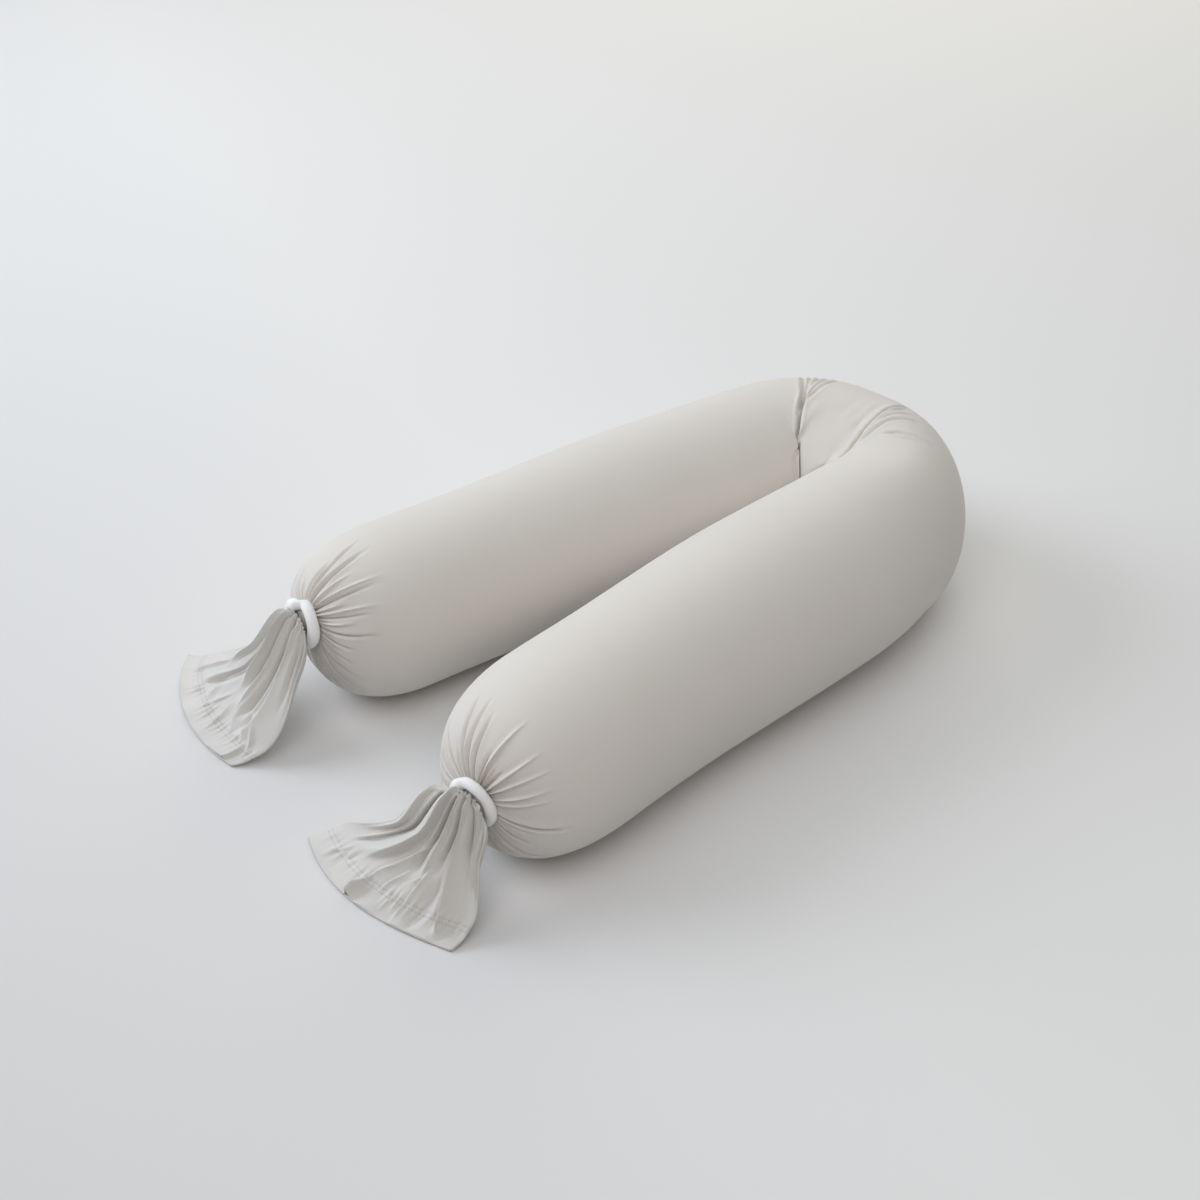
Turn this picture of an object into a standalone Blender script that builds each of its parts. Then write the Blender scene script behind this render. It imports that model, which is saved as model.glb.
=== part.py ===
"""Neck pillow: one long filled tube of stretch jersey, folded into a U, tied and flared at both ends.

Metres, +Z up.  The pillow lies on the plane z = 0, with its bend towards +Y and its two tied ends
towards -Y.  The origin is on that plane, under the middle of the whole pillow.

The cover is one piece of cloth, so it is one solid: a chain of rings that starts inside one flared end,
turns round its hem, runs over the tied neck, along the first leg, round the two corners of the bend,
down the second leg, and ends inside the other flared end.  The two bands that tie it are rings of
their own.
"""

from collections import namedtuple
from math import copysign, cos, exp, pi, radians, sin

import bmesh
import bpy
from mathutils import Vector

# ---- driving dimensions ---------------------------------------------------------------------------
WIDTH = 0.200                   # across the filled tube, half way along a leg
HEIGHT_SHARE = 0.92             # height of a free section over its width
REST_SINK = 0.02 * WIDTH        # how far the filled tube flattens where it rests
CLOTH = 0.0016                  # thickness of the loose cloth at the two ends
CLEARANCE = 0.0004              # between a band and the cloth that it holds

AROUND = 44                     # points round every ring
FIRST_HEADING = 87.9            # direction of the first leg, from its tied end, in degrees from +X

# ---- the route of the middle of the tube, from the tied end of one leg to that of the other ---------
Stretch = namedtuple("Stretch", "name length turn rings")
ROUTE = (
    Stretch("first leg, tied half", 1.395 * WIDTH, -4.2, 5),
    Stretch("first leg, bend half", 1.395 * WIDTH, -3.0, 8),
    Stretch("first corner", 0.43 * WIDTH, -68.9, 10),
    Stretch("back", 0.17 * WIDTH, 0.0, 2),
    Stretch("second corner", 0.73 * WIDTH, -99.9, 14),
    Stretch("second leg, bend half", 1.42 * WIDTH, 2.3, 8),
    Stretch("second leg, tied half", 1.42 * WIDTH, 6.4, 5),
)
ROUTE_LENGTH = sum(stretch.length for stretch in ROUTE)

# ---- half the width of the tube, over the share of the route ---------------------------------------
Girth = namedtuple("Girth", "share half_width")
GIRTHS = (
    Girth(0.00, 0.454 * WIDTH),
    Girth(0.12, 0.454 * WIDTH),
    Girth(0.30, 0.478 * WIDTH),
    Girth(0.50, 0.500 * WIDTH),
    Girth(0.72, 0.508 * WIDTH),
    Girth(0.88, 0.482 * WIDTH),
    Girth(1.00, 0.482 * WIDTH),
)

# ---- the two corners: the inner side draws in to a crease and the outer side pulls flat --------------
Corner = namedtuple("Corner", "stretch inner_half_width softness outer_loss outer_spread crease")
CORNERS = (
    Corner(2, 0.325 * WIDTH, 0.45 * WIDTH, 0.07, 0.35 * WIDTH, 0.10),
    Corner(4, 0.370 * WIDTH, 0.45 * WIDTH, 0.38, 0.50 * WIDTH, 0.10),
)
CREASE_WIDTH = 0.05 * WIDTH
CREASE_SIDE = (-0.5, 0.4)       # cosines, from the inner side, between which a crease sets in
CREASE_FOOT = (-0.9, -0.3)      # sines, from the underside, between which it sets in

# ---- the rounded ends and the tied necks ------------------------------------------------------------
NECK_RADIUS = 0.0145
NECK_LENGTH = 0.015
CAP_LENGTHS = (0.52 * WIDTH, 0.60 * WIDTH)
NECK_HEIGHTS = (0.515 * WIDTH, 0.440 * WIDTH)
CAP_POWER = 2.2                 # roundness of the ends: 2 is an ellipse, more is fuller
SAG_POWER = 3.0                 # the same for their undersides, where the filling settles
CAP_RINGS = 8
PLEATS = 11
UNEVEN_PLEATS = 8               # a second, weaker wave that makes the pleats uneven
UNEVEN_SHARE = 0.25
PLEAT_DEPTH = 0.0014            # of a pleat at the neck, up and down
PLEAT_REACH = 0.055             # how far along the rounded end the pleats fade out

# ---- the bands --------------------------------------------------------------------------------------
BAND_THICKNESS = 0.012

# ---- the flared ends: a flattened tube of cloth that falls from the neck and lies on the surface -----
TAIL_RINGS = 9
MOUTH_HEIGHT = 0.007            # height of the flattened tube at its hem
INNER_START = 3                 # the ring of the flared end where its hollow begins
STEEPNESS = 1.6                 # of the fall from the neck to the surface
FAN_OUT = (-0.3, 0.7)           # shares of the length between which a flared end fans out
SLOW_SIDE = (-0.6, 1.0)         # how far across, from the right, the slow fall of one side sets in
Tail = namedtuple("Tail", "swing spread reach reach_skew reach_bow belly belly_skew slow_side")
TAILS = (
    Tail(-26.0, 42.0, 0.127, -0.021, 0.014, 0.014, 0.012, 0.0),
    Tail(-20.0, 47.0, 0.108, -0.033, 0.026, 0.014, 0.0, 0.0),
)
Fold = namedtuple("Fold", "across height half_spread")
FOLDS = (
    Fold(-0.72, 0.006, 0.13),
    Fold(-0.38, 0.009, 0.11),
    Fold(-0.05, 0.008, 0.10),
    Fold(0.30, 0.010, 0.11),
    Fold(0.66, 0.008, 0.12),
)
FOLD_RISE = (0.05, 0.45)        # shares of the length between which the folds rise
FOLD_FALL = (0.55, 1.0)         # and between which they sink again
FOLD_FADE = 0.6                 # how much of a fold's height is gone at the hem

COVER_GREY = (0.62, 0.61, 0.59, 1.0)
BAND_WHITE = (0.86, 0.86, 0.85, 1.0)


def ease(value, low, high):
    """0 below low, 1 above high, and a smooth rise between them."""
    share = min(max((value - low) / (high - low), 0.0), 1.0)
    return share * share * (3.0 - 2.0 * share)


def route_at(distance):
    """The point on the plan and the heading, this far along the route."""
    point = Vector((0.0, 0.0))
    heading = radians(FIRST_HEADING)
    for stretch in ROUTE:
        run = min(distance, stretch.length)
        half_turn = radians(stretch.turn) * run / stretch.length / 2.0
        chord = run * (sin(half_turn) / half_turn if abs(half_turn) > 1e-9 else 1.0)
        point += chord * Vector((cos(heading + half_turn), sin(heading + half_turn)))
        heading += 2.0 * half_turn
        distance -= run
        if distance <= 0.0:
            break
    return point, heading


def start_of(stretch_number):
    """The distance along the route at which a stretch starts."""
    return sum(stretch.length for stretch in ROUTE[:stretch_number])


def half_width_at(distance):
    """Half the width of the free tube, eased between the rows of the table."""
    share = distance / ROUTE_LENGTH
    for low, high in zip(GIRTHS, GIRTHS[1:]):
        if share <= high.share:
            return low.half_width + (high.half_width - low.half_width) * ease(share, low.share, high.share)
    return GIRTHS[-1].half_width


def axis_height_at(distance):
    """Height of the middle of the section: the tube rests on the plane and flattens a little."""
    return HEIGHT_SHARE * half_width_at(distance) - REST_SINK


def pleat(angle):
    """Uneven pleats round the neck, from -1 to 1."""
    return (1.0 - UNEVEN_SHARE) * cos(PLEATS * angle) + UNEVEN_SHARE * cos(UNEVEN_PLEATS * angle + 1.0)


def cap_share(distance, cap_length, power):
    """How much of the full section a rounded end has, this far from its neck."""
    left = 1.0 - min(distance / cap_length, 1.0)
    return (1.0 - left ** power) ** (1.0 / power)


def body_ring(distance):
    """One ring round the filled tube."""
    point, heading = route_at(distance)
    to_left = Vector((-sin(heading), cos(heading)))
    half_width = half_width_at(distance)
    outer = inner = half_width
    crease = 0.0
    for corner in CORNERS:
        stretch = ROUTE[corner.stretch]
        from_middle = abs(distance - start_of(corner.stretch) - stretch.length / 2.0)
        near = 1.0 - ease(from_middle - stretch.length / 2.0, 0.0, corner.softness)
        inner -= (half_width - corner.inner_half_width) * near
        outer -= half_width * corner.outer_loss * exp(-(from_middle / corner.outer_spread) ** 2)
        crease += corner.crease * exp(-(from_middle / CREASE_WIDTH) ** 2)

    from_neck = min(distance, ROUTE_LENGTH - distance)
    half = 0 if distance < ROUTE_LENGTH / 2.0 else 1
    full = cap_share(from_neck, CAP_LENGTHS[half], CAP_POWER)
    sagged = cap_share(from_neck, CAP_LENGTHS[half], SAG_POWER)
    middle = axis_height_at(distance) * full + NECK_HEIGHTS[half] * (1.0 - full)
    gathers = PLEAT_DEPTH * (1.0 - ease(from_neck, 0.0, PLEAT_REACH))

    ring = []
    for number in range(AROUND):
        angle = 2.0 * pi * number / AROUND
        side = outer if cos(angle) > 0.0 else inner
        crease_here = crease * ease(-cos(angle), *CREASE_SIDE) * ease(sin(angle), *CREASE_FOOT)
        swell = gathers * pleat(angle)
        share = full + (sagged - full) * max(-sin(angle), 0.0)
        across = (NECK_RADIUS + (side - NECK_RADIUS) * share) * (1.0 - crease_here) + swell
        up = (NECK_RADIUS + (HEIGHT_SHARE * half_width - NECK_RADIUS) * share) * (1.0 - crease_here) + swell
        place = point + to_left * across * cos(angle)
        height = max(middle + up * sin(angle), 0.0)
        ring.append(Vector((place.x, place.y, height)))
    return ring


def body_distances():
    """Where the rings of the filled tube stand along the route, close together at caps and corners."""
    first_cap, second_cap = CAP_LENGTHS
    steps = [1.0 - cos(pi / 2.0 * (number + 1) / CAP_RINGS) for number in range(CAP_RINGS)]
    caps = [first_cap * step for step in steps] + [ROUTE_LENGTH - second_cap * step for step in steps]
    between = []
    passed = 0.0
    for stretch in ROUTE:
        spacing = stretch.length / stretch.rings
        for number in range(stretch.rings):
            distance = passed + spacing * (number + 0.5)
            if first_cap + spacing / 2.0 < distance < ROUTE_LENGTH - second_cap - spacing / 2.0:
                between.append(distance)
        passed += stretch.length
    return sorted(caps + between)


class End:
    """One tied end: where its neck leaves the filled tube, and which way it points."""

    def __init__(self, half, side):
        point, heading = route_at(half * ROUTE_LENGTH)
        outward = heading + (1 - half) * pi
        self.height = NECK_HEIGHTS[half]
        self.pole = Vector((point.x, point.y, self.height))
        self.outward = Vector((cos(outward), sin(outward), 0.0))
        self.across = Vector((-sin(outward), cos(outward), 0.0))
        self.tail = TAILS[half]
        self.side = side            # 1 where the rings of the route run with the neck, -1 against it

    def neck_ring(self, out):
        """A ring of the neck, this far out from the rounded end, under the band."""
        ring = []
        for number in range(AROUND):
            angle = 2.0 * pi * number / AROUND
            radius = NECK_RADIUS + PLEAT_DEPTH * pleat(angle)
            sideways = self.across * self.side * radius * cos(angle)
            ring.append(self.pole + self.outward * out + sideways + Vector((0.0, 0.0, radius * sin(angle))))
        return ring

    def fall(self, share, across):
        """How far down this point has come, from 0 at the neck to 1 on the surface."""
        steep = 1.0 - (1.0 - share) ** STEEPNESS
        slow = ease(share, 0.0, 1.0) - steep
        return steep + slow * self.tail.slow_side * ease(-across, *SLOW_SIDE)

    def fold_lift(self, share, across, layer):
        """How far the long folds raise the upper layer here."""
        if layer <= 0.0:
            return 0.0
        lift = sum(fold.height * exp(-((across - fold.across) / fold.half_spread) ** 2) for fold in FOLDS)
        faded = 1.0 - FOLD_FADE * ease(share, *FOLD_FALL)
        return lift * faded * ease(share, *FOLD_RISE) * ease(layer, 0.0, 0.5)

    def tail_ring(self, number):
        """A ring of the flared end: 0 is where it leaves the band, TAIL_RINGS is its hem."""
        share = number / TAIL_RINGS
        tail = self.tail
        ring = []
        for corner in range(AROUND):
            angle = 2.0 * pi * corner / AROUND
            across = self.side * cos(angle)
            layer = sin(angle)
            reach = tail.reach + tail.reach_skew * across + tail.reach_bow * across * across
            turn = radians(tail.swing + tail.spread * across) * ease(share, *FAN_OUT)
            run = NECK_LENGTH * (1.0 - share) + reach * share
            place = self.pole + self.outward * run * cos(turn) + self.across * run * sin(turn)
            belly = (tail.belly + tail.belly_skew * across) * sin(pi * share)
            place += self.across * across * (NECK_RADIUS * (1.0 - share) + belly)

            fall = self.fall(share, across)
            half_height = NECK_RADIUS + (MOUTH_HEIGHT / 2.0 - NECK_RADIUS) * fall
            middle = self.height + (MOUTH_HEIGHT / 2.0 - self.height) * fall
            blunt_layer = copysign(abs(layer) ** 0.5, layer)
            flat_layer = layer + (blunt_layer - layer) * fall
            place.z = middle + half_height * flat_layer + self.fold_lift(share, across, layer)
            ring.append(place)
        return ring


def inside_of(rings, side):
    """The inner faces of a run of rings: each point moved in by the thickness of the cloth."""
    count = len(rings)
    result = []
    for row, ring in enumerate(rings):
        before = rings[max(row - 1, 0)]
        after = rings[min(row + 1, count - 1)]
        moved = []
        for number, place in enumerate(ring):
            around = ring[(number + 1) % AROUND] - ring[number - 1]
            along = after[number] - before[number]
            outward = around.cross(along).normalized() * side
            moved.append(place - outward * CLOTH)
        result.append(moved)
    return result


def end_rings(end):
    """Rings of one tied end, from its neck out to the hem and back in, as far as its hollow goes."""
    neck = [end.neck_ring(NECK_LENGTH * share) for share in (0.0, 0.5)]
    outside = [end.tail_ring(number) for number in range(TAIL_RINGS + 1)]
    inside = inside_of(outside, end.side)
    return neck + outside + inside[:INNER_START - 1:-1]


def skin(rings, name, material):
    """One closed solid from a chain of rings, with a flat cap at each end of the chain."""
    mesh = bmesh.new()
    rows = [[mesh.verts.new(place) for place in ring] for ring in rings]
    for low, high in zip(rows, rows[1:]):
        for number in range(AROUND):
            after = (number + 1) % AROUND
            mesh.faces.new((low[number], low[after], high[after], high[number]))
    for row in (rows[0], rows[-1]):
        middle = mesh.verts.new(sum((vertex.co for vertex in row), Vector()) / AROUND)
        for number in range(AROUND):
            mesh.faces.new((middle, row[number], row[(number + 1) % AROUND]))
    bmesh.ops.recalc_face_normals(mesh, faces=mesh.faces)
    data = bpy.data.meshes.new(name)
    mesh.to_mesh(data)
    mesh.free()
    data.materials.append(material)
    data.shade_smooth()
    piece = bpy.data.objects.new(name, data)
    collection.objects.link(piece)
    return piece


def band(end, name, material):
    """The soft round ring that ties one neck."""
    tube_radius = BAND_THICKNESS / 2.0
    ring_radius = NECK_RADIUS + PLEAT_DEPTH + CLEARANCE + tube_radius
    bpy.ops.mesh.primitive_torus_add(
        major_radius=ring_radius,
        minor_radius=tube_radius,
        major_segments=32,
        minor_segments=12,
        location=end.pole + end.outward * (tube_radius + 2.0 * CLEARANCE),
        rotation=end.outward.to_track_quat("Z", "Y").to_euler(),
    )
    piece = bpy.context.object
    piece.name = name
    piece.data.materials.append(material)
    piece.data.shade_smooth()
    for holder in piece.users_collection:
        holder.objects.unlink(piece)
    collection.objects.link(piece)
    return piece


def finish(name, colour, roughness):
    """A plain Principled material."""
    material = bpy.data.materials.new(name)
    material.use_nodes = True
    shader = material.node_tree.nodes["Principled BSDF"]
    shader.inputs["Base Color"].default_value = colour
    shader.inputs["Roughness"].default_value = roughness
    shader.inputs["Metallic"].default_value = 0.0
    return material


def centre(pieces):
    """Move the pieces so that the origin is under the middle of the whole pillow."""
    bpy.context.view_layer.update()
    corners = [piece.matrix_world @ vertex.co for piece in pieces for vertex in piece.data.vertices]
    for axis in (0, 1):
        low = min(corner[axis] for corner in corners)
        high = max(corner[axis] for corner in corners)
        for piece in pieces:
            piece.location[axis] -= (low + high) / 2.0


for old in list(bpy.data.objects):
    bpy.data.objects.remove(old)
collection = bpy.data.collections.new("neck_pillow")
bpy.context.scene.collection.children.link(collection)

jersey = finish("cover_jersey", COVER_GREY, 0.85)
soft_white = finish("band_white", BAND_WHITE, 0.7)

first_end = End(0, -1)
second_end = End(1, 1)

chain = list(reversed(end_rings(first_end)))
chain += [body_ring(distance) for distance in body_distances()]
chain += end_rings(second_end)

cover = skin(chain, "cover", jersey)
band_far = band(first_end, "band_far", soft_white)
band_near = band(second_end, "band_near", soft_white)
centre([cover, band_far, band_near])
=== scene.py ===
# %% [markdown]
# # A neck pillow that is one long filled tube, folded into a U
#
# The real pillow is a long sleeve of light grey stretch jersey.  Its middle is filled, both ends are
# gathered through soft white bands, and the cloth that is left over flares out into two hemmed tails.
# The whole thing lies folded into a U on a pale table.
#
# A sleeve of cloth is easy to think of as a flat grid whose two long edges meet.  So this lesson starts
# every cloth piece from Blender's grid primitive, wraps it round the shape that the cloth takes, and
# closes its seam.  The tube is filled by a short cloth simulation with pressure inside.

# %% Load the frame
from collections import namedtuple
from math import cos, pi, radians, sin

import bpy
import numpy as np
from mathutils import Matrix, Vector


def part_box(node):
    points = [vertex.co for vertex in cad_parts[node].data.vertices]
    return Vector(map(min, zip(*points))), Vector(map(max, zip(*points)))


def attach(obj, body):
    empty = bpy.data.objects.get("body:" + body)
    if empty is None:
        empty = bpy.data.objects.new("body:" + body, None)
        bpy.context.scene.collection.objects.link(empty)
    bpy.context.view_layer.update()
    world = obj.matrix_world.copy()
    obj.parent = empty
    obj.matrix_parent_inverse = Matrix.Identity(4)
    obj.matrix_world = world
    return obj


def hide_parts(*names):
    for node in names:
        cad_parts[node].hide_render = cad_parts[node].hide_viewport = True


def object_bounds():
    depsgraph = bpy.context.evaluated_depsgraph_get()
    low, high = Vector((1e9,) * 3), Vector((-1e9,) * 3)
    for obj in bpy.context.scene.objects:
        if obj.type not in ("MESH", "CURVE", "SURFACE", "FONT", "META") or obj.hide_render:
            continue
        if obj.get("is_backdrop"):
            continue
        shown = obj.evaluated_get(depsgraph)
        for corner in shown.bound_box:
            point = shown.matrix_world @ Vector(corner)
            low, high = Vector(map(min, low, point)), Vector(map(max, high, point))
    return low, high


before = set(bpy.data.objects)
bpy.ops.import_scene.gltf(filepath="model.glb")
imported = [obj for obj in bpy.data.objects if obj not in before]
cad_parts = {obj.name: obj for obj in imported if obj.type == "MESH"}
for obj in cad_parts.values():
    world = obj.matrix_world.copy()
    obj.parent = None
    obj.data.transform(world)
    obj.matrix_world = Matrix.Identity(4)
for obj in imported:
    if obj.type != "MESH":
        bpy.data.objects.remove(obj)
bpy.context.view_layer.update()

# %% [markdown]
# ## Camera
#
# The camera looks down at the pillow from the front right with a short telephoto lens.  It is placed by
# the spot on the table that it looks at, its distance from it, and two angles, because those four
# things are easier to read than a position.

# %% Place the camera
LOOK_AT = Vector((-0.0705, 0.0516, 0.0))
CAMERA_DISTANCE = 2.1825
CAMERA_PITCH = 35.0             # degrees below the horizon
CAMERA_TURN = 49.8              # degrees from looking along +Y, to the left
LENS = 61.5                     # millimetres, on a sensor 36 mm wide


def to_camera(distance):
    """The step from the spot that the camera looks at, back towards the camera."""
    turn, pitch = radians(CAMERA_TURN), radians(CAMERA_PITCH)
    return distance * Vector((sin(turn) * cos(pitch), -cos(turn) * cos(pitch), sin(pitch)))


bpy.ops.object.camera_add(
    location=LOOK_AT + to_camera(CAMERA_DISTANCE),
    rotation=(radians(90.0 - CAMERA_PITCH), 0.0, radians(CAMERA_TURN)),
)
camera = bpy.context.object
camera.data.lens = LENS
bpy.context.scene.camera = camera
print("camera at", [round(value, 3) for value in camera.location])

# %% [markdown]
# ## Table and light
#
# The table is a wide plain plane.  Four large soft lamps stand round the pillow, each placed by its
# azimuth and its elevation as seen from the middle of the table.  The main one is low on the left.  It
# lights the tied ends and the tops of the legs, leaves their near sides in a soft grey, and throws long
# soft shadows to the right.  The others stand behind, above and in front, and only fill.

# %% Make the table and the lamps
TABLE_SIZE = 16.0
TABLE_GAP = 0.0004              # the table lies this far under the cloth, so that the two never flicker
bpy.context.scene.view_settings.view_transform = "Standard"
bpy.ops.object.select_all(action="DESELECT")
bpy.ops.mesh.primitive_plane_add(size=TABLE_SIZE, location=(0.0, 0.0, -TABLE_GAP))
table_top = bpy.context.object
table_top.name = "table_top"
bpy.ops.object.transform_apply(location=True, rotation=True, scale=True)
table_top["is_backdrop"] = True

Lamp = namedtuple("Lamp", "name azimuth elevation distance size power tint")
LAMPS = (
    Lamp("left_lamp", 212.0, 28.0, 3.5, 2.5, 81.0, (0.86, 0.91, 1.00)),
    Lamp("back_lamp", 125.0, 30.0, 3.5, 3.0, 41.0, (1.00, 0.93, 0.80)),
    Lamp("front_lamp", 320.0, 60.0, 3.5, 3.4, 51.0, (1.00, 0.89, 0.83)),
    Lamp("top_lamp", 0.0, 89.9, 3.2, 5.0, 29.0, (0.60, 0.85, 1.00)),
)
for lamp in LAMPS:
    azimuth, elevation = radians(lamp.azimuth), radians(lamp.elevation)
    flat_part = cos(elevation)
    place = lamp.distance * Vector((cos(azimuth) * flat_part, sin(azimuth) * flat_part, sin(elevation)))
    bpy.ops.object.light_add(type="AREA", location=place)
    light = bpy.context.object
    light.name = lamp.name
    light.rotation_euler = (-place).to_track_quat("-Z", "Y").to_euler()
    light.data.size = lamp.size
    light.data.energy = lamp.power
    light.data.color = lamp.tint

WORLD_STRENGTH = 0.16
world = bpy.data.worlds.new("studio")
world.use_nodes = True
background = world.node_tree.nodes["Background"].inputs
background["Color"].default_value = (1.0, 1.0, 1.0, 1.0)
background["Strength"].default_value = WORLD_STRENGTH
bpy.context.scene.world = world
print(len(LAMPS), "lamps")

# %% [markdown]
# ## The route of the tube
#
# The middle of the filled tube follows a route on the table: a long gently curved leg, a tight corner, a
# short back, a wider corner and the second leg.  Each stretch is an arc, so the heading changes evenly
# along it.  The route starts at the tied end behind the far band, whose place the frame gives.

# %% Lay out the route
WIDTH = 0.200                   # across the filled tube
FIRST_HEADING = 87.9            # degrees from +X, along the first leg
BAND_OUT = 0.0068               # the middle of a band lies this far out from the end of the filled tube
Stretch = namedtuple("Stretch", "name length turn")
ROUTE = (
    Stretch("first leg, tied half", 1.395 * WIDTH, -4.2),
    Stretch("first leg, bend half", 1.395 * WIDTH, -3.0),
    Stretch("first corner", 0.43 * WIDTH, -68.9),
    Stretch("back", 0.17 * WIDTH, 0.0),
    Stretch("second corner", 0.73 * WIDTH, -99.9),
    Stretch("second leg, bend half", 1.42 * WIDTH, 2.3),
    Stretch("second leg, tied half", 1.42 * WIDTH, 6.4),
)
ENDS_OF_STRETCHES = np.cumsum([0.0] + [stretch.length for stretch in ROUTE])
HEADINGS = radians(FIRST_HEADING) + np.cumsum([0.0] + [radians(stretch.turn) for stretch in ROUTE])
ROUTE_LENGTH = ENDS_OF_STRETCHES[-1]
BEND_NUMBERS = (2, 4)           # the two corners among the stretches
BENDS = [ROUTE[number] for number in BEND_NUMBERS]
BEND_MIDDLES = [(ENDS_OF_STRETCHES[n] + ENDS_OF_STRETCHES[n + 1]) / 2.0 for n in BEND_NUMBERS]

ROUTE_STEP = 0.0005
SPARE = 0.02                    # the table of points runs on this far past both ends
route_distance = np.arange(-SPARE, ROUTE_LENGTH + SPARE, ROUTE_STEP)
route_heading = np.interp(route_distance, ENDS_OF_STRETCHES, HEADINGS)
far_low, far_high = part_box("band_far")
band_far_middle = (far_low + far_high) / 2.0
first_pole = band_far_middle + BAND_OUT * Vector((cos(HEADINGS[0]), sin(HEADINGS[0]), 0.0))
route_x = np.cumsum(np.cos(route_heading)) * ROUTE_STEP
route_y = np.cumsum(np.sin(route_heading)) * ROUTE_STEP
route_x += first_pole.x - np.interp(0.0, route_distance, route_x)
route_y += first_pole.y - np.interp(0.0, route_distance, route_y)


def route_at(distance):
    """The place on the table and the heading at these distances along the route."""
    columns = (route_x, route_y, route_heading)
    return tuple(np.interp(distance, route_distance, column) for column in columns)


def ease(value, low, high):
    """0 below low, 1 above high, and a smooth rise between them."""
    share = np.clip((value - low) / (high - low), 0.0, 1.0)
    return share * share * (3.0 - 2.0 * share)


def between(value, rise, full, fall, gone):
    """A smooth rise from 0 at rise to 1 at full, and a smooth fall from 1 at fall to 0 at gone."""
    return ease(value, rise, full) * (1.0 - ease(value, fall, gone))


print("the filled tube is", round(float(ROUTE_LENGTH), 3), "m long, and its two ends are",
      [round(float(value), 3) for value in route_at(ROUTE_LENGTH)[:2]], "and", first_pole[:2])

# %% [markdown]
# ## The shape of the filled tube
#
# Every section of the tube is a slightly flattened circle that rests on the table.  The width changes
# a little along the legs.  At the corners the inner side draws in and the outer side of the second corner
# pulls flat, as it does when a full tube is bent.  The ends are rounded, and the filling settles in
# them, so their undersides are fuller than their tops.

# %% Write the section of the tube as a function
HEIGHT_SHARE = 0.92             # height of the tube, as a share of its width
REST_SINK = 0.02 * WIDTH        # how far its own weight presses it down
NECK_RADIUS = 0.0145
CAP_LENGTHS = (0.52 * WIDTH, 0.60 * WIDTH)
NECK_HEIGHTS = (0.515 * WIDTH, 0.440 * WIDTH)
CAP_POWER = 2.2                 # how blunt a rounded end is on top, and on its underside
SAG_POWER = 3.0
GIRTH_SHARES = (0.0, 0.12, 0.30, 0.50, 0.72, 0.88, 1.0)        # of the length of the route
GIRTHS = (0.454, 0.454, 0.478, 0.500, 0.508, 0.482, 0.482)     # half widths, in widths

Corner = namedtuple("Corner", "half_length inner softness outer_loss outer_spread")
CORNERS = (
    Corner(BENDS[0].length / 2.0, 0.325 * WIDTH, 0.45 * WIDTH, 0.07, 0.35 * WIDTH),
    Corner(BENDS[1].length / 2.0, 0.370 * WIDTH, 0.45 * WIDTH, 0.38, 0.50 * WIDTH),
)


def half_width_at(distance):
    """Half the width of the free tube, eased between the given girths."""
    share = distance / ROUTE_LENGTH
    width = np.full_like(share, GIRTHS[0])
    for number in range(len(GIRTHS) - 1):
        rise = ease(share, GIRTH_SHARES[number], GIRTH_SHARES[number + 1])
        width += (GIRTHS[number + 1] - GIRTHS[number]) * rise
    return width * WIDTH


def cap_share(from_neck, length, power):
    """How much of the full section a rounded end has, this far from its neck."""
    left = 1.0 - np.clip(from_neck / length, 0.0, 1.0)
    return (1.0 - left ** power) ** (1.0 / power)


print("the tube is", round(float(half_width_at(np.array([0.7]))[0]) * 2.0, 3), "m wide half way")

# %% [markdown]
# ## The inner side of the bend
#
# Two deep creases run over the inner side.  Between them lies a panel of slack cloth, and outside them
# the legs stay full.  So the lines of the two creases come first: the angle round the tube in
# degrees, and the distance along the route from the middle of the first corner in millimetres.

# %% Draw in the inner side
MM = 0.001
FIRST_EDGE = (
    (50, 1), (72, -3), (98, -3), (114, -4), (125, -10), (134, -34), (142, -54), (152, -60), (162, -60),
)
SECOND_EDGE = ((60, 97), (90, 97), (98, 101), (106, 107), (114, 117), (122, 137), (128, 168), (135, 195))
PANEL_SHARE = -0.10             # of its narrowing that the inner side keeps between the two creases
TOUCH_GAP = 0.001               # two sides of a crease stop this far short of the plane between them
Push = namedtuple("Push", "reach spread azimuth")
CREASE_PUSH = Push(0.0075, 0.055, radians(230.0))     # the full back pushes the first crease aside
BEND_RADII = [bend.length / radians(-bend.turn) for bend in BENDS]
first_x, first_y, first_heading = (float(value) for value in route_at(BEND_MIDDLES[0]))
FIRST_PIVOT = Vector((first_x, first_y)) + BEND_RADII[0] * Vector((sin(first_heading), -cos(first_heading)))
EDGE_SOFT = 0.003               # the narrowing sets in this far before and after a deep crease
HIDDEN = (186.0, 204.0)         # angles between which the inner side draws in fully


def edge_at(degrees, edge):
    """Where a deep crease runs: its distance along the route at this angle round the tube."""
    return BEND_MIDDLES[0] + MM * np.interp(degrees, *zip(*edge))


def drawn_in(angle, distance):
    """How much of its narrowing the inner side has here.

    The legs stay full up to the two deep creases.  Only low down, where the legs nearly meet, does the
    inner side draw in.
    """
    degrees = np.degrees(angle)
    before = ease(edge_at(degrees, FIRST_EDGE) - distance, -EDGE_SOFT, EDGE_SOFT)
    after = ease(distance - edge_at(degrees, SECOND_EDGE), -EDGE_SOFT, EDGE_SOFT)
    hidden = ease(degrees, *HIDDEN)
    return hidden + (1.0 - hidden) * PANEL_SHARE * (1.0 - np.maximum(before, after))


print("the first corner turns round a point at", [round(value, 3) for value in FIRST_PIVOT])

# %% Put the tube together


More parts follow.
